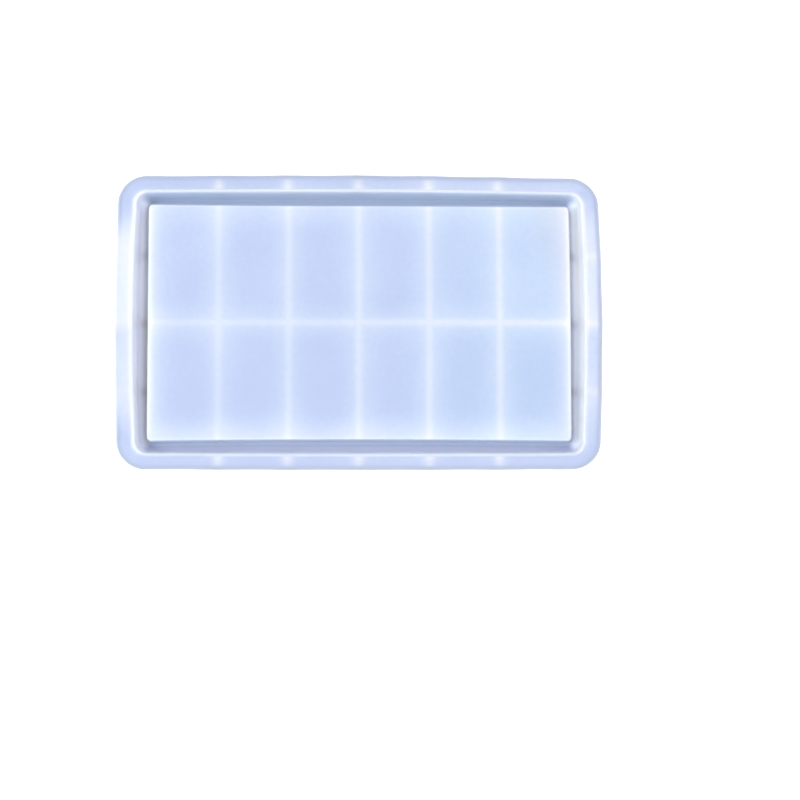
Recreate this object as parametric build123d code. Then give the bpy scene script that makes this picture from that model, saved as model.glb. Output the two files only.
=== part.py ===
from build123d import *

import math
import os

# A one-piece silicone mould for casting a shallow resin tray, open side up.
# X runs along its length, Y across its width, and Z is up from the face that it rests on.
# The moulding is divided at its own features, and the regions meet face to face.

# Outline of the rim, in millimetres
RIM_LENGTH = 300.0
RIM_WIDTH = 182.0
RIM_CORNER = 17.0
RIM_THICKNESS = 2.2
RIM_EDGE_ROUND = 0.8

# Mouth of the cavity, with the low raised lip around it
MOUTH_INSET = 9.9
MOUTH_CORNER = 7.5
LIP_BREADTH = 2.0
LIP_RISE = 0.5
LIP_CREST_INSET = 0.6

# Heights above the face that it rests on
TOTAL_HEIGHT = 18.0
FLOOR_THICKNESS = 3.0
DECK_DEPTH = 5.0
DECK_THICKNESS = 3.5

# Raised deck, which casts the recess of the tray
DECK_LENGTH = 261.2
DECK_WIDTH = 145.6
DECK_CORNER = 2.6

# Walls
WALL_THICKNESS = 2.4
DRAFT_ANGLE = 6.0

# Stiffening ribs under the deck
RIB_THICKNESS = 3.4
CROSS_RIB_COUNT = 5
CROSS_RIB_PITCH = 43.5

# Gussets under the rim
GUSSET_THICKNESS = 3.4
GUSSET_FOOT = 4.0
GUSSET_EDGE_GAP = 1.0
LONG_SIDE_GUSSETS = CROSS_RIB_COUNT
SHORT_SIDE_GUSSETS = 3
SHORT_SIDE_GUSSET_PITCH = 42.4

RIM_TOP = TOTAL_HEIGHT - LIP_RISE
RIM_UNDERSIDE = RIM_TOP - RIM_THICKNESS
DECK_TOP = TOTAL_HEIGHT - DECK_DEPTH
DECK_UNDERSIDE = DECK_TOP - DECK_THICKNESS
DRAFT = math.tan(math.radians(DRAFT_ANGLE))
WALL_BREADTH = WALL_THICKNESS / math.cos(math.radians(DRAFT_ANGLE))


def outline(length, width, corner, growth, z):
    """A rounded rectangle, grown outwards by growth on every side, at height z."""
    shape = RectangleRounded(length + 2 * growth, width + 2 * growth, corner + growth)
    return Plane.XY.offset(z) * shape


def rim_outline(z):
    """The outer edge of the rim."""
    return outline(RIM_LENGTH, RIM_WIDTH, RIM_CORNER, 0, z)


def cavity_outline(z, growth=0):
    """The drafted outer wall of the cavity, which narrows from the mouth down to the floor."""
    narrowing = (TOTAL_HEIGHT - z) * DRAFT
    return outline(RIM_LENGTH, RIM_WIDTH, MOUTH_CORNER + MOUTH_INSET, growth - MOUTH_INSET - narrowing, z)


def shell_outline(z):
    """The outside of the cavity's outer wall."""
    return cavity_outline(z, WALL_BREADTH)


def deck_outline(z, growth=0):
    """The drafted sides of the deck, which widen from its top down to the floor."""
    widening = (DECK_TOP - z) * DRAFT
    return outline(DECK_LENGTH, DECK_WIDTH, DECK_CORNER, growth + widening, z)


def hollow_outline(z):
    """The hollow underneath the deck."""
    return deck_outline(z, -WALL_BREADTH)


def block(section, z_low, z_high):
    """A solid between two heights of a section."""
    return loft([section(z_low), section(z_high)], ruled=True)


def ring(outer, inner, z_low, z_high):
    """A closed ring between two sections."""
    return block(outer, z_low, z_high) - block(inner, z_low, z_high)


def rim_flange():
    """The flat rim around the mould, with the raised lip along the mouth of the cavity."""
    plate = block(rim_outline, RIM_UNDERSIDE, RIM_TOP)
    edges = plate.edges().group_by(Axis.Z)
    plate = fillet(edges[0] + edges[-1], RIM_EDGE_ROUND)
    lip_foot = cavity_outline(RIM_TOP, LIP_BREADTH)
    lip_crest = cavity_outline(TOTAL_HEIGHT, LIP_BREADTH - LIP_CREST_INSET)
    lip = loft([lip_foot, lip_crest], ruled=True)
    return plate + lip - block(cavity_outline, RIM_UNDERSIDE, TOTAL_HEIGHT)


def trench_outer_wall():
    """The drafted wall from the floor of the trench up to the rim."""
    return ring(shell_outline, cavity_outline, FLOOR_THICKNESS, RIM_UNDERSIDE)


def trench_floor():
    """The ring on which the mould rests, and whose top casts the edge of the tray."""
    return ring(shell_outline, hollow_outline, 0, FLOOR_THICKNESS)


def deck_side_wall():
    """The drafted wall between the trench and the hollow under the deck."""
    return ring(deck_outline, hollow_outline, FLOOR_THICKNESS, DECK_UNDERSIDE)


def casting_deck():
    """The raised plate in the middle of the mould."""
    return block(deck_outline, DECK_UNDERSIDE, DECK_TOP)


def hollow_half_span(size, z):
    """Half the breadth of the hollow at height z, from the size of the deck along the same axis."""
    return size / 2 + (DECK_TOP - z) * DRAFT - WALL_BREADTH


def rib_plate(profile, plane):
    """A flat plate of rib thickness, centred on the plane that its profile is drawn in."""
    return extrude(plane * make_face(Polyline(*profile, close=True)), RIB_THICKNESS / 2, both=True)


def long_rib():
    """The rib along the middle of the hollow, from one end to the other."""
    foot = hollow_half_span(DECK_LENGTH, 0)
    root = hollow_half_span(DECK_LENGTH, DECK_UNDERSIDE)
    profile = [(-foot, 0), (foot, 0), (root, DECK_UNDERSIDE), (-root, DECK_UNDERSIDE)]
    return rib_plate(profile, Plane.XZ)


def cross_rib(x):
    """The two halves of a rib across the hollow, one on each side of the long rib."""
    start = RIB_THICKNESS / 2
    foot = hollow_half_span(DECK_WIDTH, 0)
    root = hollow_half_span(DECK_WIDTH, DECK_UNDERSIDE)
    back_profile = [(start, 0), (foot, 0), (root, DECK_UNDERSIDE), (start, DECK_UNDERSIDE)]
    back = rib_plate(back_profile, Plane.YZ)
    halves = [back, mirror(back, Plane.XZ)]
    return Compound([Pos(x, 0, 0) * half.solid() for half in halves])


def gusset(rim_size):
    """One gusset under the rim at +X, between the outer wall and the rim's edge."""
    wall_at_mouth = rim_size / 2 - MOUTH_INSET + WALL_BREADTH
    wall_foot = wall_at_mouth - TOTAL_HEIGHT * DRAFT
    wall_top = wall_at_mouth - (TOTAL_HEIGHT - RIM_UNDERSIDE) * DRAFT
    profile = [
        (wall_foot, 0),
        (wall_foot + GUSSET_FOOT, 0),
        (rim_size / 2 - GUSSET_EDGE_GAP, RIM_UNDERSIDE),
        (wall_top, RIM_UNDERSIDE),
    ]
    face = Plane.XZ * make_face(Polyline(*profile, close=True))
    return extrude(face, GUSSET_THICKNESS / 2, both=True).solid()


def centred_row(count, pitch):
    """Evenly spaced positions, centred on zero."""
    return [(number - (count - 1) / 2) * pitch for number in range(count)]


def gusset_row(rim_size, turn, count, pitch):
    """The gussets along one side of the rim, turned about Z to that side."""
    piece = gusset(rim_size)
    return Compound([Rot(0, 0, turn) * Pos(0, along, 0) * piece for along in centred_row(count, pitch)])


def build():
    nodes = {
        "rim_flange": rim_flange(),
        "trench_outer_wall": trench_outer_wall(),
        "trench_floor": trench_floor(),
        "deck_side_wall": deck_side_wall(),
        "casting_deck": casting_deck(),
        "long_rib": long_rib(),
        "gussets_right": gusset_row(RIM_LENGTH, 0, SHORT_SIDE_GUSSETS, SHORT_SIDE_GUSSET_PITCH),
        "gussets_back": gusset_row(RIM_WIDTH, 90, LONG_SIDE_GUSSETS, CROSS_RIB_PITCH),
        "gussets_left": gusset_row(RIM_LENGTH, 180, SHORT_SIDE_GUSSETS, SHORT_SIDE_GUSSET_PITCH),
        "gussets_front": gusset_row(RIM_WIDTH, 270, LONG_SIDE_GUSSETS, CROSS_RIB_PITCH),
    }
    for number, x in enumerate(centred_row(CROSS_RIB_COUNT, CROSS_RIB_PITCH), start=1):
        nodes[f"cross_rib_{number}"] = cross_rib(x)
    return nodes


os.makedirs("parts", exist_ok=True)
for name, shape in build().items():
    export_step(shape, f"parts/{name}.step")
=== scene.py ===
import math
from types import SimpleNamespace

import bmesh
import bpy
import numpy as np
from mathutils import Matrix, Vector


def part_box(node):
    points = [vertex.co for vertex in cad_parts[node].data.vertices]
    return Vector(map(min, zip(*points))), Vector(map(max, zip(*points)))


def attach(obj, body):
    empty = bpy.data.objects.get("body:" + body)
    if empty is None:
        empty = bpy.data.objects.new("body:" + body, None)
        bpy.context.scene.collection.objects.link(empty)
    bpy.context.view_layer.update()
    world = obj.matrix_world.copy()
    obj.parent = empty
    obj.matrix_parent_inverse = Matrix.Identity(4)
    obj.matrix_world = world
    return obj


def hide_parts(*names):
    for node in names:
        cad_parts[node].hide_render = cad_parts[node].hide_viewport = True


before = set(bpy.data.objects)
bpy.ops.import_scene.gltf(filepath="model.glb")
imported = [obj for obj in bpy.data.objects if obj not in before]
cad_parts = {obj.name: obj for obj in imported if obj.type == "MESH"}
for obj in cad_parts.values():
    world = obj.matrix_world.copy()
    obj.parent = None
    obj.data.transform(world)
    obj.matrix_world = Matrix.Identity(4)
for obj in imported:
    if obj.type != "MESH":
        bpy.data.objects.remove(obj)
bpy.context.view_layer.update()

MM = 0.001

# Corners of the outlines, seen from above
RIM_CORNER = 17.0 * MM
MOUTH_CORNER = 7.5 * MM
DECK_CORNER = 2.6 * MM
HOLLOW_CORNER = 0.5 * MM

# Roundings of the section
DECK_EDGE_ROUND = 1.3 * MM
DECK_FOOT_ROUND = 1.2 * MM
WALL_FOOT_ROUND = 5.4 * MM
MOUTH_ROUND = 0.8 * MM
LIP_ROUND = 0.7 * MM
RIM_ROUND = 1.05 * MM
UNDER_RIM_ROUND = 1.5 * MM
FOOT_ROUND = 1.0 * MM
HOLLOW_ROUND = 1.5 * MM

# The lip around the mouth of the cavity
LIP_BREADTH = 2.2 * MM
LIP_CREST_BREADTH = 1.54 * MM
LIP_RISE = 0.5 * MM

# How finely the moulding is divided
ARC_STEPS = 6
PLATE_MARGIN = 3.0 * MM
RUN_STEP = 3.0 * MM
RUN_MARGIN = 0.25 * MM
CORNER_STEPS = 12
LENGTH_STEPS = 66
WIDTH_STEPS = 38

# The relaxed shape of the soft moulding
BEND_CORNER = 6.0 * MM
BEND_START = 0.4
END_RIM_BOW = 2.2 * MM
LEFT_MOUTH_BOW = 3.4 * MM
RIGHT_MOUTH_BOW = 2.4 * MM
LEFT_MOUTH_SHIFT = 1.2 * MM
RIGHT_MOUTH_SHIFT = 1.4 * MM
FRONT_MOUTH_SHIFT = 0.25 * MM
BACK_MOUTH_SHIFT = 0.65 * MM
SIDE_BOW = 0.5 * MM
DECK_PINCH = 0.45 * MM
DECK_SHIFT = 0.25 * MM
DECK_LEFT_PINCH = 0.55 * MM
DECK_FLARE = 1.6 * MM
DECK_TAPER = 0.002
CORNER_PULL = Vector((1.0 * MM, 1.9 * MM))
RIM_DROOP = 0.35 * MM
RIM_RIPPLE = 0.18 * MM
DECK_SAG = 0.25 * MM

# Ribs and gussets
EMBED = 0.6 * MM
RIB_LIFT = 0.12 * MM
RIB_DRAFT = 0.15 * MM
RIB_FOOT_ROUND = 0.6 * MM
RIB_ROOT_ROUND = 1.4 * MM
RIB_ROOT_FLARE = 3.0 * MM
RIB_ROOT_SINK = 0.06 * MM
RIB_STEP = 6.0 * MM
GUSSET_FOOT = 4.0 * MM
GUSSET_EDGE_ROUND = 0.4 * MM
GUSSET_EDGE_STEPS = 3
SHORT_SIDE_GUSSETS = 3

# What the silicone looks like at each lightness, where the lightness also carries painted light and shade:
# (lightness, linear colour)
SILICONE_COLOURS = [
    (0.0, (0.40, 0.495, 0.73)),
    (0.45, (0.502, 0.58, 0.757)),
    (0.70, (0.665, 0.725, 0.85)),
    (1.0, (0.875, 0.895, 0.92)),
]
BASE_LIGHTNESS = 0.45

# Painted glows, standing in for light carried through the silicone where it is thick, with painted
# highlights on the deck's rounded edges and on the lip: how far each one reaches, and how much it lightens
RIB_CORE_REACH = 2.4 * MM
RIB_CORE_LIGHT = 0.13
# The painted glow over the ribs is stronger towards the right
RIB_CORE_LIGHT_PER_METRE = 0.35
RIB_HALO_REACH = 9.0 * MM
RIB_HALO_LIGHT = 0.105
RIB_HALO_OVERLAP = -0.6
DECK_END_CORE = (2.0 * MM, 0.11)
DECK_END_HALO_REACH = 5.5 * MM
DECK_END_HALO_LIGHT = 0.38
DECK_LEFT_END_EXTRA = 0.04
DECK_SIDE_CORE = (1.6 * MM, 0.12)
DECK_SIDE_HALO_REACH = 12.0 * MM
DECK_SIDE_HALO_LIGHT = 0.12
DECK_FRONT_SIDE_EXTRA = 0.10
DECK_CORNER_OVERLAP = -2.6
DECK_RIB_END_OVERLAP = -0.8
RIM_LONG_SIDE_CORE = (3.4 * MM, 0.27)
RIM_LONG_SIDE_HALO = (6.0 * MM, 0.07)
RIM_SHORT_SIDE_CORE = (2.8 * MM, 0.08)
RIM_SHORT_SIDE_HALO = (6.0 * MM, 0.09)
LIP_REACH = 1.3 * MM

# Slow changes of lightness that are painted light and shade: the deck lighter towards the back, brighter
# ends and back of the rim, shade towards the rim's outer edge and a highlight along the lip; and the
# (scale, detail, roughness) of the noise in it, which is random tone
DECK_LIGHT_PER_METRE_BACK = 0.3
DECK_BACK_RIGHT_LIGHT = 0.07
RIM_LEFT_GUSSET_LOSS = -0.5
RIM_END_LIGHT = 0.13
RIM_END_LEFT_EXTRA = 0.06
RIM_END_BACK_EXTRA = 0.12
RIM_END_LEFT_RAISE = 8.0 * MM
RIM_OUTER_SHADE = -0.07
RIM_BACK_LIGHT = 0.09
LIP_LIGHT = 0.18
LIP_BACK_EXTRA = 0.07
LIP_END_EXTRA = 0.18
CLOUD_NOISE = (30.0, 3.0, 0.5)
CLOUD_STRENGTH = 0.14
MOTTLE_NOISE = (300.0, 2.0, 0.6)
MOTTLE_STRENGTH = 0.09

# Where slow changes start and end, along X or Y
TO_LEFT_END = (0.0, -10.0 * MM)
TO_FRONT_HALF = (10.0 * MM, -10.0 * MM)
TO_BACK_HALF = (-10.0 * MM, 2.0 * MM)
TO_MIDDLE_OF_END = (84.0 * MM, 56.0 * MM)
DECK_TO_RIGHT = (20.0 * MM, 110.0 * MM)
DECK_TO_BACK = (-20.0 * MM, 30.0 * MM)
RIM_TO_RIGHT = (-60.0 * MM, 100.0 * MM)
TRENCH_TO_FRONT = (22.0 * MM, -12.0 * MM)
CYAN_TO_RIGHT = (0.0, 100.0 * MM)
WARM_RIBS_TO_RIGHT = (-40.0 * MM, 60.0 * MM)

# Where changes beside an edge start and end, as distances past it
DECK_INSIDE = (1.0 * MM, -1.0 * MM)
RIM_TOP_INSIDE = (1.2 * MM, 2.2 * MM)
RIM_SIDE_INSIDE = (1.0 * MM, 2.5 * MM)
RIM_OUTER_SHADE_START = 3.0 * MM
RIM_GUSSET_FADE_END = 8.0 * MM
LIP_MIDDLE = 1.0 * MM
LIP_NEAR_END = (-8.0 * MM, 0.0)
TRENCH_INNER_INSIDE = (-0.2 * MM, 0.6 * MM)
TRENCH_OUTER_INSIDE = (0.4 * MM, -0.4 * MM)
TRENCH_CORNER = (-4.0 * MM, 4.0 * MM)
CYAN_BEFORE_END = (-3.0 * MM, -16.0 * MM)
WARM_PAST_MOUTH = (0.0, 2.0 * MM)
WARM_NEAR_CORNER = (-8.0 * MM, 12.0 * MM)
WARM_CORNER_LEAN = 0.35

# The trench's colour with painted light and shade, different on each side: lighter walls and a painted
# shadow beside the deck, as linear colours from the deck's edge to the mouth: (share of the way, colour)
LEFT_TRENCH_SHADING = [
    (0.02, (0.88, 0.91, 0.98)),
    (0.14, (0.61, 0.61, 0.62)),
    (0.30, (0.62, 0.63, 0.66)),
    (0.43, (0.70, 0.73, 0.775)),
    (0.56, (0.81, 0.82, 0.875)),
    (0.66, (0.85, 0.85, 0.95)),
    (1.0, (0.80, 0.825, 0.975)),
]
RIGHT_TRENCH_SHADING = [
    (0.02, (0.93, 0.95, 0.98)),
    (0.14, (0.60, 0.61, 0.62)),
    (0.30, (0.725, 0.74, 0.82)),
    (0.42, (0.85, 0.88, 1.0)),
    (0.62, (0.91, 0.935, 1.0)),
    (1.0, (0.88, 0.905, 1.0)),
]
BACK_TRENCH_SHADING = [
    (0.02, (0.76, 0.83, 0.98)),
    (0.14, (0.56, 0.62, 0.75)),
    (0.30, (0.45, 0.52, 0.645)),
    (0.42, (0.375, 0.44, 0.57)),
    (0.55, (0.425, 0.505, 0.64)),
    (0.70, (0.415, 0.485, 0.585)),
    (0.84, (0.53, 0.60, 0.705)),
    (0.93, (0.66, 0.73, 0.88)),
    (1.0, (0.81, 0.875, 1.0)),
]
FRONT_TRENCH_SHADING = [
    (0.02, (0.70, 0.76, 0.91)),
    (0.14, (0.50, 0.55, 0.66)),
    (0.30, (0.45, 0.51, 0.64)),
    (0.42, (0.40, 0.455, 0.58)),
    (0.55, (0.49, 0.54, 0.68)),
    (0.70, (0.55, 0.57, 0.68)),
    (0.83, (0.64, 0.66, 0.76)),
    (0.91, (0.79, 0.84, 0.97)),
    (1.0, (0.87, 0.92, 1.0)),
]
# Painted shade in the end trenches beside the side gussets and towards the front: (reach, strength), and
# where across the trench it fades
TRENCH_GUSSET_SHADE = (3.0 * MM, -0.15)
TRENCH_GUSSET_SHADE_FADE = (0.8, 0.4)
TRENCH_FRONT_SHADE = -0.075
TRENCH_FRONT_SHADE_FADE = (0.9, 0.5)

# Painted colour casts of the light that multiply the silicone's colour, and painted shade along the rim's
# outer edge
CYAN_LIGHT_CAST = (0.965, 1.01, 1.0, 1)
WARM_LIGHT_CAST = (1.0, 0.965, 0.94, 1)
WARM_RIB_SHARE = 0.5
EDGE_SHADE_COLOUR = (0.43, 0.47, 0.58, 1)
EDGE_SHADE_START = 3.7 * MM
EDGE_SHADE_FULL = 0.9 * MM
EDGE_SHADE_END_LOSS = -0.1
EDGE_SHADE_LEFT_LOSS = -0.85

# How light enters the silicone and leaves it
SUBSURFACE_WEIGHT = 0.8
SUBSURFACE_DEPTH = 4.0 * MM
SUBSURFACE_RADIUS = (0.85, 0.93, 1.0)
SILICONE_IOR = 1.41
LEAST_ROUGHNESS = 0.30
ROUGHNESS_RANGE = 0.16
ROUGHNESS_NOISE = (90.0, 4.0, 0.5)
GRAIN_NOISE = (900.0, 3.0, 0.5)
GRAIN_STRENGTH = 0.12
GRAIN_HEIGHT = 0.05 * MM

# The studio, with sides in metres and powers in watts. The dome is bright near the horizon, and fades
# between two heights of the direction looked in
FLOOR_REACH = 1.6
FLOOR_COLOUR = (0.95, 0.95, 0.95, 1)
FLOOR_ROUGHNESS = 0.9
FLOOR_GLOSS = 0.1
FLOOR_GLOW = 0.42
DOME_FADE = (0.12, 0.35)
DOME_STRENGTH = (1.05, 0.30)
LEFT_SOFTBOX = {"place": (-1.45, 0.0, 1.65), "side": 1.2, "power": 28.6, "colour": (0.90, 0.935, 1.0)}
RIGHT_SOFTBOX = {"place": (1.7, 0.4, 1.3), "side": 1.2, "power": 17.0, "colour": (1.0, 1.0, 1.0)}
TOP_SOFTBOX = {"place": (0.2, -0.8, 2.25), "side": 1.6, "power": 20.0, "colour": (1.0, 1.0, 1.0)}

# The camera looks nearly straight down, and the mould lies up and to the left of the middle of its view
CAMERA_ELEVATION = 87.0
CAMERA_DISTANCE = 1.25
CAMERA_VIEW_SPAN = 0.4902
CAMERA_SENSOR = 36.0
CAMERA_AIM = (0.0254, -0.0480)

CROSS_RIBS = sorted(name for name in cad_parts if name.startswith("cross_rib"))
GUSSETS = sorted(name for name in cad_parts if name.startswith("gussets"))
SHELL_NODES = ("rim_flange", "trench_outer_wall", "trench_floor", "deck_side_wall", "casting_deck")


def spans(node):
    """Half the length and half the width of a CAD node."""
    low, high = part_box(node)
    return (high.x - low.x) / 2, (high.y - low.y) / 2


def levels(node):
    """The lowest and highest Z of a CAD node."""
    low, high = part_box(node)
    return low.z, high.z


# Sizes read from the CAD frame
rim_x, rim_y = spans("rim_flange")
rim_under, crest = levels("rim_flange")
wall_x, wall_y = spans("trench_outer_wall")
floor_x = spans("trench_floor")[0]
floor_top = levels("trench_floor")[1]
deck_under, deck_top = levels("casting_deck")
deck_root_x, deck_root_y = spans("casting_deck")
hollow_foot_x = spans("long_rib")[0]
rib_half = spans("long_rib")[1]
rim_top = crest - LIP_RISE
draft = (wall_x - floor_x) / (rim_under - floor_top)
deck_x = deck_root_x - (deck_top - deck_under) * draft
deck_y = deck_root_y - (deck_top - deck_under) * draft
deck_foot_x = deck_x + (deck_top - floor_top) * draft
wall_breadth = deck_x + deck_top * draft - hollow_foot_x
mouth_x = wall_x + (crest - rim_under) * draft - wall_breadth
mouth_y = wall_y + (crest - rim_under) * draft - wall_breadth
cavity_foot_x = mouth_x - (crest - floor_top) * draft
hollow_root_x = hollow_foot_x - deck_under * draft
cross_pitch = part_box(CROSS_RIBS[1])[0].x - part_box(CROSS_RIBS[0])[0].x
side_low, side_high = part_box("gussets_right")
side_pitch = (side_high.y - side_low.y - 2 * rib_half) / 2


def rounded_section(corners):
    """Points along a section: straight runs joined by arcs. A corner is (distance out, height, radius)."""
    points = [np.array(corners[0][:2])]
    for before, corner, after in zip(corners, corners[1:], corners[2:]):
        here = np.array(corner[:2])
        incoming = np.array(before[:2]) - here
        outgoing = np.array(after[:2]) - here
        incoming /= np.linalg.norm(incoming)
        outgoing /= np.linalg.norm(outgoing)
        half_turn = math.acos(float(np.clip(incoming @ outgoing, -1, 1))) / 2
        setback = corner[2] / math.tan(half_turn)
        bisector = (incoming + outgoing) / np.linalg.norm(incoming + outgoing)
        centre = here + bisector * corner[2] / math.sin(half_turn)
        start = here + incoming * setback - centre
        end = here + outgoing * setback - centre
        sweep = math.pi - 2 * half_turn
        for step in range(ARC_STEPS + 1):
            share = step / ARC_STEPS
            weights = math.sin((1 - share) * sweep), math.sin(share * sweep)
            points.append(centre + (start * weights[0] + end * weights[1]) / math.sin(sweep))
    points.append(np.array(corners[-1][:2]))
    return np.array(points)


def divided_runs(points):
    """The same section, with its long straight runs divided."""
    result = [points[0]]
    for start, end in zip(points, points[1:]):
        length = np.linalg.norm(end - start)
        if length > 4 * RUN_MARGIN:
            pieces = max(1, round((length - 2 * RUN_MARGIN) / RUN_STEP))
            distances = np.linspace(RUN_MARGIN, length - RUN_MARGIN, pieces + 1)
            result += [start + (end - start) * distance / length for distance in distances]
        result.append(end)
    return np.array(result)


# From the middle of the length outwards: how much nearer the long sides are, and how round the corners are
GAP_STOPS = ([hollow_foot_x, cavity_foot_x], [deck_x - deck_y, mouth_x - mouth_y])
CORNER_STOPS = (
    [hollow_root_x, deck_x, deck_foot_x, cavity_foot_x, mouth_x, rim_x],
    [
        HOLLOW_CORNER,
        DECK_CORNER,
        DECK_CORNER + deck_foot_x - deck_x,
        MOUTH_CORNER + cavity_foot_x - mouth_x,
        MOUTH_CORNER,
        RIM_CORNER,
    ],
)


def outline_points(out, z):
    """A rounded rectangle of half length out, anticlockwise from the start of its back right corner."""
    half_length = out
    half_width = out - np.interp(out, *GAP_STOPS)
    radius = np.interp(out, *CORNER_STOPS)
    points = []
    straight = {0: LENGTH_STEPS, 1: WIDTH_STEPS, 2: LENGTH_STEPS, 3: WIDTH_STEPS}
    for quarter, (side_x, side_y) in enumerate([(1, 1), (-1, 1), (-1, -1), (1, -1)]):
        centre = np.array([side_x * (half_length - radius), side_y * (half_width - radius)])
        for step in range(CORNER_STEPS + 1):
            angle = (quarter + step / CORNER_STEPS) * math.pi / 2
            points.append(centre + radius * np.array([math.cos(angle), math.sin(angle)]))
        start = points[-1]
        run = 2 * (half_length - radius) if quarter % 2 == 0 else 2 * (half_width - radius)
        heading = (quarter + 1) * math.pi / 2
        direction = np.array([math.cos(heading + math.pi / 2), math.sin(heading + math.pi / 2)])
        for step in range(1, straight[quarter]):
            points.append(start + direction * run * step / straight[quarter])
    return [(x, y, z) for x, y in points]


def plate_points(out, z):
    """A grid inside the straight sides of an outline, as rows of points from front to back."""
    radius = np.interp(out, *CORNER_STOPS)
    half_length = out - radius
    half_width = out - np.interp(out, *GAP_STOPS) - radius
    return [
        (x, y, z)
        for y in np.linspace(-half_width, half_width, WIDTH_STEPS + 1)
        for x in np.linspace(-half_length, half_length, LENGTH_STEPS + 1)
    ]


def plate_border():
    """The grid's border points in the order of an outline's points. A corner point serves its whole arc."""
    def index(column, row):
        return row * (LENGTH_STEPS + 1) + column

    last_column, last_row = LENGTH_STEPS, WIDTH_STEPS
    border = [index(last_column, last_row)] * (CORNER_STEPS + 1)
    border += [index(column, last_row) for column in range(last_column - 1, 0, -1)]
    border += [index(0, last_row)] * (CORNER_STEPS + 1)
    border += [index(0, row) for row in range(last_row - 1, 0, -1)]
    border += [index(0, 0)] * (CORNER_STEPS + 1)
    border += [index(column, 0) for column in range(1, last_column)]
    border += [index(last_column, 0)] * (CORNER_STEPS + 1)
    border += [index(last_column, row) for row in range(1, last_row)]
    return border


def plate_faces(offset, facing_up):
    """Faces between the points of a grid, whose first point has the number offset."""
    faces = []
    for row in range(WIDTH_STEPS):
        for column in range(LENGTH_STEPS):
            corner = offset + row * (LENGTH_STEPS + 1) + column
            above = corner + LENGTH_STEPS + 1
            face = (corner, corner + 1, above + 1, above)
            faces.append(face if facing_up else face[::-1])
    return faces


def band_faces(inner, outer):
    """Faces between two closed rows of points, without the sides that have no length."""
    faces = []
    count = len(inner)
    for here in range(count):
        there = (here + 1) % count
        face = [inner[here], outer[here], outer[there], inner[there]]
        if face[0] == face[3]:
            face = face[:3]
        elif face[1] == face[2]:
            face = [face[0], face[1], face[3]]
        faces.append(tuple(face))
    return faces


def smooth_step(value):
    """0 up to 0, 1 from 1 on, and smooth in between."""
    value = np.clip(value, 0, 1)
    return value * value * (3 - 2 * value)


def between(value, pitch):
    """0 on each of a row of ribs or gussets, and 1 half-way between two of them."""
    return 0.5 - 0.5 * np.cos(2 * math.pi * value / pitch)


def settle(points):
    """The shape that the soft moulding relaxes into.

    Its sides bow, its back right corner is pulled in, its rim droops between the gussets and its deck sags.
    """
    points = np.array(points, float)
    x, y, z = points.T.copy()
    along_x = np.clip(x / rim_x, -1, 1)
    along_y = np.clip(y / rim_y, -1, 1)
    beside_x = np.abs(x) - (deck_x - BEND_CORNER)
    beside_y = np.abs(y) - (deck_y - BEND_CORNER)
    outside = np.hypot(np.maximum(beside_x, 0), np.maximum(beside_y, 0)) - BEND_CORNER
    to_mouth = smooth_step(outside / (mouth_x - deck_x))
    to_rim = smooth_step((outside - (mouth_x - deck_x)) / (rim_x - mouth_x))
    deck_share = 1 - to_mouth
    mouth_bow = np.where(x > 0, RIGHT_MOUTH_BOW, LEFT_MOUTH_BOW)
    mouth_shift = np.where(x > 0, RIGHT_MOUTH_SHIFT, LEFT_MOUTH_SHIFT)
    end_bow = mouth_bow * (1 - to_rim) + END_RIM_BOW * to_rim
    end_shift = mouth_shift * (1 - to_rim)
    near_end = smooth_step((np.abs(x) / rim_x - BEND_START) / (1 - BEND_START))
    x_out = x - np.sign(x) * to_mouth * near_end * (end_bow * along_y**2 + end_shift)
    x_out += deck_share * (DECK_LEFT_PINCH * np.clip(-along_x, 0, 1) - DECK_TAPER * x * y / rim_y)
    long_side = -to_mouth * SIDE_BOW * along_x**2 + deck_share * (DECK_FLARE * along_x**2 - DECK_PINCH)
    long_side -= to_mouth * (1 - to_rim) * np.where(y > 0, BACK_MOUTH_SHIFT, FRONT_MOUTH_SHIFT)
    y_out = y + long_side * y / rim_y + deck_share * DECK_SHIFT
    corner = smooth_step((along_x + along_y) / 2)
    x_out -= CORNER_PULL.x * corner * np.clip(along_y, 0, 1)
    y_out -= CORNER_PULL.y * corner * np.clip(along_x, 0, 1)
    on_long_side = smooth_step((np.abs(y) - mouth_y) / (rim_y - mouth_y))
    on_short_side = smooth_step((np.abs(x) - mouth_x) / (rim_x - mouth_x))
    long_slack = on_long_side * between(x, cross_pitch) * smooth_step((rim_x - np.abs(x)) / cross_pitch)
    short_slack = on_short_side * between(y, side_pitch) * smooth_step((rim_y - np.abs(y)) / side_pitch)
    z_out = z - RIM_DROOP * (long_slack + short_slack) * smooth_step(z / rim_under)
    x_out -= np.sign(x) * RIM_RIPPLE * short_slack
    y_out -= np.sign(y) * RIM_RIPPLE * long_slack
    dish = np.clip(1 - (x / deck_x) ** 2, 0, 1) * np.clip(1 - (y / deck_y) ** 2, 0, 1)
    z_out -= DECK_SAG * dish * smooth_step(z / deck_under)
    return np.stack([x_out, y_out, z_out], 1)


def add_mesh(name, points, faces, skin=None):
    """A smooth mesh in the relaxed shape.

    The material reads where each point was before it relaxed. On the shell it also reads how far out the
    point is and whether it is on the upper side, from the skin.
    """
    mesh = bpy.data.meshes.new(name)
    mesh.from_pydata([tuple(point) for point in settle(points)], [], faces)
    for attribute, values in (("rest_place", points), ("skin", skin)):
        if values is not None:
            layer = mesh.attributes.new(attribute, "FLOAT_VECTOR", "POINT")
            layer.data.foreach_set("vector", np.array(values, np.float32).ravel())
    mesh.validate()
    mesh.polygons.foreach_set("use_smooth", [True] * len(mesh.polygons))
    piece = bpy.data.objects.new(name, mesh)
    bpy.context.scene.collection.objects.link(piece)
    return piece


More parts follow.
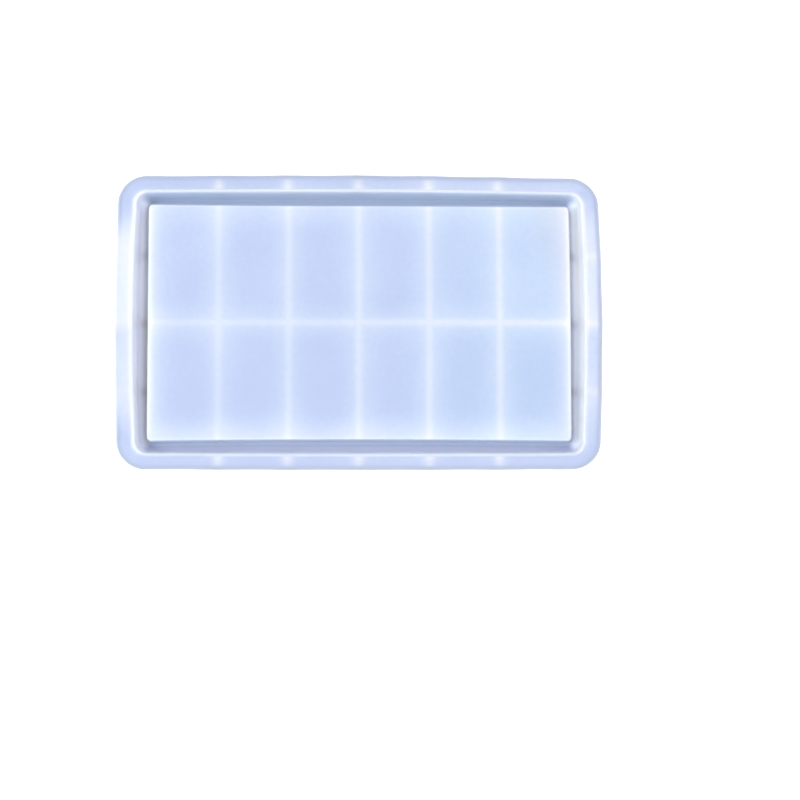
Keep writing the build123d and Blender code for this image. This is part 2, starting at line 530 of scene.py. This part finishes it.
def shell_section():
    """Half of the moulding's section, from the top of the deck round the rim to the deck's underside."""
    corners = [
        (deck_x - PLATE_MARGIN, deck_top, 0),
        (deck_x, deck_top, DECK_EDGE_ROUND),
        (deck_foot_x, floor_top, DECK_FOOT_ROUND),
        (cavity_foot_x, floor_top, WALL_FOOT_ROUND),
        (mouth_x, crest, MOUTH_ROUND),
        (mouth_x + LIP_CREST_BREADTH, crest, LIP_ROUND),
        (mouth_x + LIP_BREADTH, rim_top, LIP_ROUND),
        (rim_x, rim_top, RIM_ROUND),
        (rim_x, rim_under, RIM_ROUND),
        (wall_x, rim_under, UNDER_RIM_ROUND),
        (floor_x - floor_top * draft, 0, FOOT_ROUND),
        (hollow_foot_x, 0, FOOT_ROUND),
        (hollow_root_x, deck_under, HOLLOW_ROUND),
        (hollow_root_x - PLATE_MARGIN, deck_under, 0),
    ]
    return divided_runs(rounded_section(corners))


def mould_shell():
    """The whole moulding but its ribs and gussets, as one closed skin."""
    section = shell_section()
    edge_row = int(np.argmax(section[:, 0]))
    points, rows, skin = [], [], []
    for number, (out, z) in enumerate(section):
        row = outline_points(out, z)
        rows.append(range(len(points), len(points) + len(row)))
        points += row
        skin += [(out, number <= edge_row, 0)] * len(row)
    faces = []
    for inner, outer in zip(rows, rows[1:]):
        faces += band_faces(inner, outer)
    border = plate_border()
    top_offset = len(points)
    points += plate_points(section[0][0], section[0][1])
    faces += plate_faces(top_offset, True)
    faces += band_faces([top_offset + number for number in border], rows[0])
    under_offset = len(points)
    points += plate_points(section[-1][0], section[-1][1])
    faces += plate_faces(under_offset, False)
    faces += band_faces(rows[-1], [under_offset + number for number in border])
    skin += [(0, number < under_offset, 0) for number in range(top_offset, len(points))]
    piece = add_mesh("mould_shell", points, faces, skin)
    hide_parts(*SHELL_NODES)
    return piece


def rib_bar(place, start, end):
    """A rib with rounded lower edges and a flared root, as points and faces.

    place turns a distance along the rib, a distance across it and a height into a point.
    """
    root = rib_half + RIB_DRAFT
    foot = rib_half - RIB_DRAFT
    flare = root + RIB_ROOT_FLARE
    ceiling = deck_under + RIB_ROOT_SINK
    corners = [
        (-flare, ceiling, 0),
        (-root, ceiling, RIB_ROOT_ROUND),
        (-foot, RIB_LIFT, RIB_FOOT_ROUND),
        (foot, RIB_LIFT, RIB_FOOT_ROUND),
        (root, ceiling, RIB_ROOT_ROUND),
        (flare, ceiling, 0),
    ]
    section = [tuple(point) for point in rounded_section(corners)]
    section += [(flare, deck_under + EMBED), (-flare, deck_under + EMBED)]
    steps = max(1, round((end - start) / RIB_STEP))
    points = [
        place(along, across, z)
        for along in np.linspace(start, end, steps + 1)
        for across, z in section
    ]
    rows = [range(step * len(section), (step + 1) * len(section)) for step in range(steps + 1)]
    faces = [tuple(rows[0]), tuple(reversed(rows[-1]))]
    for near, far in zip(rows, rows[1:]):
        faces += band_faces(near, far)
    return points, faces


def joined(parts):
    """Several sets of points and faces as one set."""
    points, faces = [], []
    for part_points, part_faces in parts:
        faces += [tuple(index + len(points) for index in face) for face in part_faces]
        points += part_points
    return points, faces


def long_rib():
    """The rib along the middle of the hollow."""
    reach = hollow_foot_x + EMBED

    def place(along, across, z):
        return along, -across, z

    piece = add_mesh("long_rib", *rib_bar(place, -reach, reach))
    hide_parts("long_rib")
    return piece


def cross_rib(name):
    """Both halves of one rib across the hollow."""
    low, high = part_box(name)
    middle = (low.x + high.x) / 2
    start = rib_half - EMBED
    reach = high.y + EMBED

    def place(along, across, z):
        return middle + across, along, z

    piece = add_mesh(name, *joined([rib_bar(place, start, reach), rib_bar(place, -reach, -start)]))
    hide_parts(name)
    return piece


def plate_between(profile, place):
    """A flat plate with a profile of (distance out, height), as points and faces.

    place turns a side of the plate, -1 or 1, a distance out and a height into a point.
    """
    size = len(profile)
    points = [place(side, out, z) for side in (-1, 1) for out, z in profile]
    faces = [tuple(range(size)), tuple(range(2 * size - 1, size - 1, -1))]
    for here in range(size):
        there = (here + 1) % size
        faces.append((here, here + size, there + size, there))
    return points, faces


def round_edges(piece):
    """Small roundings on every edge, with shading that keeps the flat faces flat."""
    sculpt = bmesh.new()
    sculpt.from_mesh(piece.data)
    bmesh.ops.recalc_face_normals(sculpt, faces=sculpt.faces)
    bmesh.ops.bevel(
        sculpt,
        geom=sculpt.edges,
        offset=GUSSET_EDGE_ROUND,
        segments=GUSSET_EDGE_STEPS,
        profile=0.5,
        affect="EDGES",
    )
    for face in sculpt.faces:
        face.smooth = True
    sculpt.to_mesh(piece.data)
    sculpt.free()
    piece.modifiers.new("weighted_normals", "WEIGHTED_NORMAL")


def gusset_row(name):
    """The gussets along one side of the rim."""
    low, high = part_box(name)
    middle = (low + high) / 2
    outward = Vector((round(middle.x / rim_x), round(middle.y / rim_y), 0))
    sideways = Vector((-outward.y, outward.x, 0))
    on_long_side = outward.y != 0
    pitch, count = (cross_pitch, len(CROSS_RIBS)) if on_long_side else (side_pitch, SHORT_SIDE_GUSSETS)
    foot = min(low.dot(outward), high.dot(outward))
    tip = max(low.dot(outward), high.dot(outward))
    profile = [
        (foot - EMBED, RIB_LIFT),
        (foot + GUSSET_FOOT, RIB_LIFT),
        (tip, rim_under),
        (tip, rim_under + EMBED),
        (foot + rim_under * draft - EMBED, rim_under + EMBED),
    ]
    parts = []
    for number in range(count):
        middle_along = (number - (count - 1) / 2) * pitch

        def place(side, out, z):
            along = middle_along + side * rib_half
            return tuple(outward * out + sideways * along + Vector((0, 0, z)))

        parts.append(plate_between(profile, place))
    piece = add_mesh(name, *joined(parts))
    round_edges(piece)
    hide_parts(name)
    return piece


class Graph:
    """Adds nodes to a material. Every value is a number, a colour or the output of another node."""

    def __init__(self, material):
        self.nodes = material.node_tree.nodes
        self.links = material.node_tree.links

    def plug(self, socket, value):
        """Links an output to a socket, or sets the socket to a number or a colour."""
        if isinstance(value, bpy.types.NodeSocket):
            self.links.new(value, socket)
        else:
            socket.default_value = value

    def add(self, kind, inputs, **settings):
        """A new node with its settings made and its inputs plugged."""
        node = self.nodes.new(kind)
        for key, value in settings.items():
            setattr(node, key, value)
        for key, value in inputs.items():
            self.plug(node.inputs[key], value)
        return node

    def maths(self, operation, *values):
        """One Math node."""
        return self.add("ShaderNodeMath", dict(enumerate(values)), operation=operation).outputs[0]

    def times(self, *values):
        """The product of several values."""
        result = values[0]
        for value in values[1:]:
            result = self.maths("MULTIPLY", result, value)
        return result

    def plus(self, *values):
        """The sum of several values."""
        result = values[0]
        for value in values[1:]:
            result = self.maths("ADD", result, value)
        return result

    def either(self, *values):
        """The larger of two values."""
        return self.maths("MAXIMUM", *values)

    def attribute(self, name):
        """A mesh attribute as a vector, and its three parts."""
        vector = self.add("ShaderNodeAttribute", {}, attribute_name=name).outputs["Vector"]
        return vector, self.add("ShaderNodeSeparateXYZ", {"Vector": vector}).outputs

    def ramp(self, value, low, high, kind="SMOOTHSTEP"):
        """0 at low and 1 at high, smooth in between unless it is LINEAR."""
        inputs = {0: value, 1: low, 2: high}
        return self.add("ShaderNodeMapRange", inputs, interpolation_type=kind).outputs[0]

    def past(self, value, edge, start, end):
        """0 at the distance start past an edge, and 1 at the distance end past it."""
        return self.ramp(value, edge + start, edge + end)

    def bell(self, distance, reach):
        """1 at no distance, falling off smoothly within about twice the reach."""
        ratio = self.maths("DIVIDE", distance, reach)
        return self.maths("EXPONENT", self.times(ratio, ratio, -1.0))

    def glow(self, distance, reach, light):
        """Painted light, or painted shade when it is negative, that falls off like a bell."""
        return self.times(self.bell(distance, reach), light)

    def halo(self, distance, reach, light):
        """Painted light that falls off steeply at first and then slowly."""
        ratio = self.maths("DIVIDE", self.maths("ABSOLUTE", distance), -reach)
        return self.times(self.maths("EXPONENT", ratio), light)

    def distance_to_row(self, value, pitch, count):
        """How far a value is from the nearest of evenly spaced places that are centred on zero."""
        last = (count - 1) / 2
        number = self.maths("ROUND", self.maths("DIVIDE", value, pitch))
        number = self.either(self.maths("MINIMUM", number, last), -last)
        return self.maths("ABSOLUTE", self.maths("SUBTRACT", value, self.times(number, pitch)))

    def noise(self, place, scale, detail, roughness):
        """Noise around 0.5."""
        inputs = {"Vector": place, "Scale": scale, "Detail": detail, "Roughness": roughness}
        return self.add("ShaderNodeTexNoise", inputs).outputs[0]

    def colours(self, value, wanted):
        """The colour at a value between 0 and 1, from a list of (value, colour)."""
        node = self.add("ShaderNodeValToRGB", {"Fac": value})
        stops = node.color_ramp.elements
        for stop, (position, colour) in zip(stops, (wanted[0], wanted[-1])):
            stop.position = position
            stop.color = (*colour, 1)
        for position, colour in wanted[1:-1]:
            stops.new(position).color = (*colour, 1)
        return node.outputs["Color"]

    def scaled(self, colour, strength):
        """A colour made lighter or darker."""
        inputs = {0: colour, "Scale": strength}
        return self.add("ShaderNodeVectorMath", inputs, operation="SCALE").outputs[0]

    def mixed(self, share, low, high, blend="MIX"):
        """Two colours mixed, or the first multiplied by the second, to the given share."""
        inputs = {"Factor": share, "A": low, "B": high}
        return self.add("ShaderNodeMix", inputs, data_type="RGBA", blend_type=blend).outputs["Result"]


def silicone_places(graph):
    """Where a point was before the moulding relaxed, in the terms that its light and colours follow."""
    place, (x, y, _) = graph.attribute("rest_place")
    _, (out, on_top, _) = graph.attribute("skin")
    far_x = graph.maths("ABSOLUTE", x)
    far_y = graph.maths("ABSOLUTE", y)
    on_deck = graph.times(graph.past(far_x, deck_x, *DECK_INSIDE), graph.past(far_y, deck_y, *DECK_INSIDE))
    to_cross_rib = graph.distance_to_row(x, cross_pitch, len(CROSS_RIBS))
    rib_core = graph.either(graph.bell(to_cross_rib, RIB_CORE_REACH), graph.bell(far_y, RIB_CORE_REACH))
    left_end = graph.ramp(x, *TO_LEFT_END)
    raised = graph.plus(far_y, graph.times(left_end, RIM_END_LEFT_RAISE))
    return SimpleNamespace(
        place=place,
        x=x,
        y=y,
        far_x=far_x,
        far_y=far_y,
        out=out,
        on_top=on_top,
        on_deck=on_deck,
        to_cross_rib=to_cross_rib,
        to_side_gusset=graph.distance_to_row(y, side_pitch, SHORT_SIDE_GUSSETS),
        rib_core=rib_core,
        left_end=left_end,
        front_half=graph.ramp(y, *TO_FRONT_HALF),
        back_half=graph.ramp(y, *TO_BACK_HALF),
        middle_of_end=graph.ramp(raised, *TO_MIDDLE_OF_END),
    )


def deck_light(graph, at):
    """Painted light in the deck: glow over its ribs and along its edges, painted highlights on its rounded
    edges, and lighter towards the back and the back right.
    """
    cross_halo = graph.bell(at.to_cross_rib, RIB_HALO_REACH)
    long_halo = graph.bell(at.far_y, RIB_HALO_REACH)
    rib_halo = graph.plus(cross_halo, long_halo, graph.times(cross_halo, long_halo, RIB_HALO_OVERLAP))
    core_light = graph.plus(RIB_CORE_LIGHT, graph.times(at.x, RIB_CORE_LIGHT_PER_METRE))
    rib_light = graph.plus(graph.times(at.rib_core, core_light), graph.times(rib_halo, RIB_HALO_LIGHT))

    to_end = graph.maths("SUBTRACT", deck_x, at.far_x)
    halo_light = graph.plus(DECK_END_HALO_LIGHT, graph.times(at.left_end, DECK_LEFT_END_EXTRA))
    end_light = graph.plus(
        graph.glow(to_end, *DECK_END_CORE),
        graph.halo(to_end, DECK_END_HALO_REACH, halo_light),
    )
    to_side = graph.maths("SUBTRACT", deck_y, at.far_y)
    halo_light = graph.plus(DECK_SIDE_HALO_LIGHT, graph.times(at.front_half, DECK_FRONT_SIDE_EXTRA))
    side_light = graph.plus(
        graph.glow(to_side, *DECK_SIDE_CORE),
        graph.glow(to_side, DECK_SIDE_HALO_REACH, halo_light),
    )
    corner = graph.times(end_light, side_light, DECK_CORNER_OVERLAP)
    edge_light = graph.plus(end_light, side_light, corner)
    rib_end = graph.times(rib_light, edge_light, DECK_RIB_END_OVERLAP)

    # Painted light towards the back and the back right
    towards_right = graph.ramp(at.x, *DECK_TO_RIGHT)
    towards_back = graph.ramp(at.y, *DECK_TO_BACK)
    back_right = graph.times(towards_right, towards_back, DECK_BACK_RIGHT_LIGHT)
    slope = graph.times(at.y, DECK_LIGHT_PER_METRE_BACK)
    return graph.times(at.on_deck, graph.plus(rib_light, edge_light, rib_end, back_right, slope))


def rim_light(graph, at):
    """Painted light in the rim: a glowing patch over each gusset, brighter ends and back, and painted shade
    towards its outer edge.
    """
    on_rim = graph.past(at.out, mouth_x, *RIM_TOP_INSIDE)
    beyond_x = graph.past(at.far_x, mouth_x, *RIM_SIDE_INSIDE)
    beyond_y = graph.past(at.far_y, mouth_y, *RIM_SIDE_INSIDE)

    fading = graph.ramp(at.out, rim_x + RIM_GUSSET_FADE_END, mouth_x)
    long_patch = graph.plus(
        graph.glow(at.to_cross_rib, *RIM_LONG_SIDE_CORE),
        graph.halo(at.to_cross_rib, *RIM_LONG_SIDE_HALO),
    )
    long_patch = graph.times(beyond_y, fading, long_patch)
    short_patch = graph.plus(
        graph.glow(at.to_side_gusset, *RIM_SHORT_SIDE_CORE),
        graph.halo(at.to_side_gusset, *RIM_SHORT_SIDE_HALO),
    )
    kept = graph.plus(1.0, graph.times(at.left_end, RIM_LEFT_GUSSET_LOSS))
    short_patch = graph.times(beyond_x, short_patch, kept)

    end_light = graph.plus(
        RIM_END_LIGHT,
        graph.times(at.left_end, RIM_END_LEFT_EXTRA),
        graph.times(at.back_half, RIM_END_BACK_EXTRA),
    )
    end_light = graph.times(beyond_x, at.middle_of_end, end_light)
    outwards = graph.ramp(at.out, mouth_x + RIM_OUTER_SHADE_START, rim_x)
    outer_shade = graph.times(outwards, RIM_OUTER_SHADE)
    back_light = graph.times(beyond_y, at.back_half, graph.ramp(at.x, *RIM_TO_RIGHT), RIM_BACK_LIGHT)
    return graph.times(on_rim, graph.plus(long_patch, short_patch, end_light, outer_shade, back_light))


def lip_light(graph, at):
    """A painted highlight along the raised lip, more at the back and at both ends."""
    to_lip = graph.maths("SUBTRACT", at.out, mouth_x + LIP_MIDDLE)
    lip = graph.times(graph.bell(to_lip, LIP_REACH), at.on_top)
    near_end = graph.past(at.far_x, mouth_x, *LIP_NEAR_END)
    strength = graph.plus(
        LIP_LIGHT,
        graph.times(at.back_half, LIP_BACK_EXTRA),
        graph.times(near_end, LIP_END_EXTRA),
    )
    return graph.times(lip, strength)


def unevenness(graph, at):
    """Slow clouds and a fine mottle, around zero."""
    cloud = graph.noise(at.place, *CLOUD_NOISE)
    mottle = graph.noise(at.place, *MOTTLE_NOISE)
    return graph.plus(
        graph.times(graph.maths("SUBTRACT", cloud, 0.5), CLOUD_STRENGTH),
        graph.times(graph.maths("SUBTRACT", mottle, 0.5), MOTTLE_STRENGTH),
    )


def trench_painted_shading(graph, at):
    """The silicone's colour with painted light and shade on the trench's walls and floor, by its side and
    by the distance across it, and painted shade beside the gussets and towards the front of the ends.
    """
    across = graph.ramp(at.out, deck_x, mouth_x, "LINEAR")
    right, left = graph.colours(across, RIGHT_TRENCH_SHADING), graph.colours(across, LEFT_TRENCH_SHADING)
    back, front = graph.colours(across, BACK_TRENCH_SHADING), graph.colours(across, FRONT_TRENCH_SHADING)
    end_shading = graph.mixed(at.left_end, right, left)
    side_shading = graph.mixed(at.front_half, back, front)

    # Painted shade in the end trenches beside the gussets and towards the front
    gusset_shade = graph.glow(at.to_side_gusset, *TRENCH_GUSSET_SHADE)
    gusset_shade = graph.times(gusset_shade, graph.ramp(across, *TRENCH_GUSSET_SHADE_FADE))
    front_shade = graph.times(graph.ramp(at.y, *TRENCH_TO_FRONT), TRENCH_FRONT_SHADE)
    front_shade = graph.times(front_shade, graph.ramp(across, *TRENCH_FRONT_SHADE_FADE))
    end_shading = graph.scaled(end_shading, graph.plus(1.0, gusset_shade, front_shade))

    from_side = graph.maths("SUBTRACT", at.far_x, at.far_y)
    at_the_end = graph.past(from_side, deck_x - deck_y, *TRENCH_CORNER)
    return graph.mixed(at_the_end, side_shading, end_shading)


def with_light_casts(graph, at, colour):
    """The colour with a painted cyan cast of the light in the right cells of the deck, and a painted warm
    cast on the rim and the right ribs.
    """
    right_cells = graph.times(graph.ramp(at.x, *CYAN_TO_RIGHT), graph.past(at.x, deck_x, *CYAN_BEFORE_END))
    between_ribs = graph.maths("SUBTRACT", 1.0, at.rib_core)
    cyan = graph.times(at.on_deck, right_cells, between_ribs)
    colour = graph.mixed(cyan, colour, CYAN_LIGHT_CAST, "MULTIPLY")

    towards_corner = graph.plus(at.x, graph.times(at.y, WARM_CORNER_LEAN))
    near_corner = graph.past(towards_corner, deck_x, *WARM_NEAR_CORNER)
    warm = graph.either(graph.past(at.out, mouth_x, *WARM_PAST_MOUTH), near_corner)
    towards_right = graph.ramp(at.x, *WARM_RIBS_TO_RIGHT)
    warm = graph.either(warm, graph.times(at.on_deck, at.rib_core, towards_right, WARM_RIB_SHARE))
    return graph.mixed(warm, colour, WARM_LIGHT_CAST, "MULTIPLY")


def silicone_colour(graph, at):
    """The whole base colour: the silicone's colour and random tone, with painted light and shade."""
    parts = deck_light(graph, at), rim_light(graph, at), lip_light(graph, at), unevenness(graph, at)
    lightness = graph.plus(BASE_LIGHTNESS, *parts)
    colour = with_light_casts(graph, at, graph.colours(lightness, SILICONE_COLOURS))

    in_trench = graph.times(
        at.on_top,
        graph.past(at.out, deck_x, *TRENCH_INNER_INSIDE),
        graph.past(at.out, mouth_x, *TRENCH_OUTER_INSIDE),
    )
    colour = graph.mixed(in_trench, colour, trench_painted_shading(graph, at))

    # Painted shade along the rim's outer edge, weaker in the middle of the ends and nearly gone in the
    # middle of the left end
    loss = graph.plus(EDGE_SHADE_END_LOSS, graph.times(at.left_end, EDGE_SHADE_LEFT_LOSS))
    strength = graph.plus(1.0, graph.times(at.middle_of_end, loss))
    near_edge = graph.ramp(at.out, rim_x - EDGE_SHADE_START, rim_x - EDGE_SHADE_FULL)
    return graph.mixed(graph.times(at.on_top, near_edge, strength), colour, EDGE_SHADE_COLOUR)


def silicone():
    """Translucent bluish-white silicone, with painted glow where it is thick or has ribs behind it, and
    painted light and shade in its base colour.
    """
    material = bpy.data.materials.new("silicone")
    material.use_nodes = True
    graph = Graph(material)
    at = silicone_places(graph)
    satin = graph.noise(at.place, *ROUGHNESS_NOISE)
    grain = graph.noise(at.place, *GRAIN_NOISE)
    bump_inputs = {"Height": grain, "Strength": GRAIN_STRENGTH, "Distance": GRAIN_HEIGHT}
    wanted = {
        "Base Color": silicone_colour(graph, at),
        "Roughness": graph.plus(LEAST_ROUGHNESS, graph.times(satin, ROUGHNESS_RANGE)),
        "Normal": graph.add("ShaderNodeBump", bump_inputs).outputs["Normal"],
        "Subsurface Weight": SUBSURFACE_WEIGHT,
        "Subsurface Scale": SUBSURFACE_DEPTH,
        "Subsurface Radius": SUBSURFACE_RADIUS,
        "IOR": SILICONE_IOR,
    }
    shader = material.node_tree.nodes["Principled BSDF"]
    for name, value in wanted.items():
        graph.plug(shader.inputs[name], value)
    return material


def add_floor():
    """A plain pale floor, much larger than the mould."""
    mesh = bpy.data.meshes.new("floor")
    corners = [(-1, -1), (1, -1), (1, 1), (-1, 1)]
    points = [(side_x * FLOOR_REACH, side_y * FLOOR_REACH, 0) for side_x, side_y in corners]
    mesh.from_pydata(points, [], [(0, 1, 2, 3)])
    floor = bpy.data.objects.new("floor", mesh)
    bpy.context.scene.collection.objects.link(floor)
    material = bpy.data.materials.new("floor_white")
    material.use_nodes = True
    shader = material.node_tree.nodes["Principled BSDF"]
    shader.inputs["Base Color"].default_value = FLOOR_COLOUR
    shader.inputs["Roughness"].default_value = FLOOR_ROUGHNESS
    shader.inputs["Specular IOR Level"].default_value = FLOOR_GLOSS
    shader.inputs["Emission Color"].default_value = (1, 1, 1, 1)
    shader.inputs["Emission Strength"].default_value = FLOOR_GLOW
    mesh.materials.append(material)


def add_dome():
    """A dim white dome that is bright along the horizon."""
    world = bpy.data.worlds.new("studio")
    bpy.context.scene.world = world
    world.use_nodes = True
    nodes, links = world.node_tree.nodes, world.node_tree.links
    background = nodes["Background"]
    background.inputs["Color"].default_value = (1, 1, 1, 1)
    direction = nodes.new("ShaderNodeTexCoord")
    split = nodes.new("ShaderNodeSeparateXYZ")
    fade = nodes.new("ShaderNodeMapRange")
    fade.interpolation_type = "SMOOTHSTEP"
    for number, value in enumerate(DOME_FADE + DOME_STRENGTH, start=1):
        fade.inputs[number].default_value = value
    links.new(direction.outputs["Generated"], split.inputs[0])
    links.new(split.outputs["Z"], fade.inputs[0])
    links.new(fade.outputs[0], background.inputs["Strength"])


def add_softbox(name, place, side, power, colour):
    """A square softbox that faces the middle of the mould."""
    light = bpy.data.lights.new(name, "AREA")
    light.shape = "SQUARE"
    light.size = side
    light.energy = power
    light.color = colour
    lamp = bpy.data.objects.new(name, light)
    lamp.location = place
    lamp.rotation_mode = "QUATERNION"
    lamp.rotation_quaternion = (-Vector(place)).to_track_quat("-Z", "Y")
    bpy.context.scene.collection.objects.link(lamp)


def add_camera():
    """The camera, at the photograph's viewing angle."""
    data = bpy.data.cameras.new("camera")
    data.sensor_width = CAMERA_SENSOR
    data.lens = CAMERA_SENSOR * CAMERA_DISTANCE / CAMERA_VIEW_SPAN
    camera = bpy.data.objects.new("camera", data)
    elevation = math.radians(CAMERA_ELEVATION)
    back = Vector((0, -math.cos(elevation), math.sin(elevation)))
    camera.location = Vector((*CAMERA_AIM, crest)) + back * CAMERA_DISTANCE
    camera.rotation_mode = "QUATERNION"
    camera.rotation_quaternion = (-back).to_track_quat("-Z", "Y")
    bpy.context.scene.collection.objects.link(camera)
    bpy.context.scene.camera = camera


finish = silicone()
pieces = [mould_shell(), long_rib()]
pieces += [cross_rib(name) for name in CROSS_RIBS]
pieces += [gusset_row(name) for name in GUSSETS]
for piece in pieces:
    piece.data.materials.append(finish)
    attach(piece, "root")

add_floor()
add_dome()
add_softbox("left_softbox", **LEFT_SOFTBOX)
add_softbox("right_softbox", **RIGHT_SOFTBOX)
add_softbox("top_softbox", **TOP_SOFTBOX)
add_camera()
bpy.context.scene.view_settings.view_transform = "Standard"
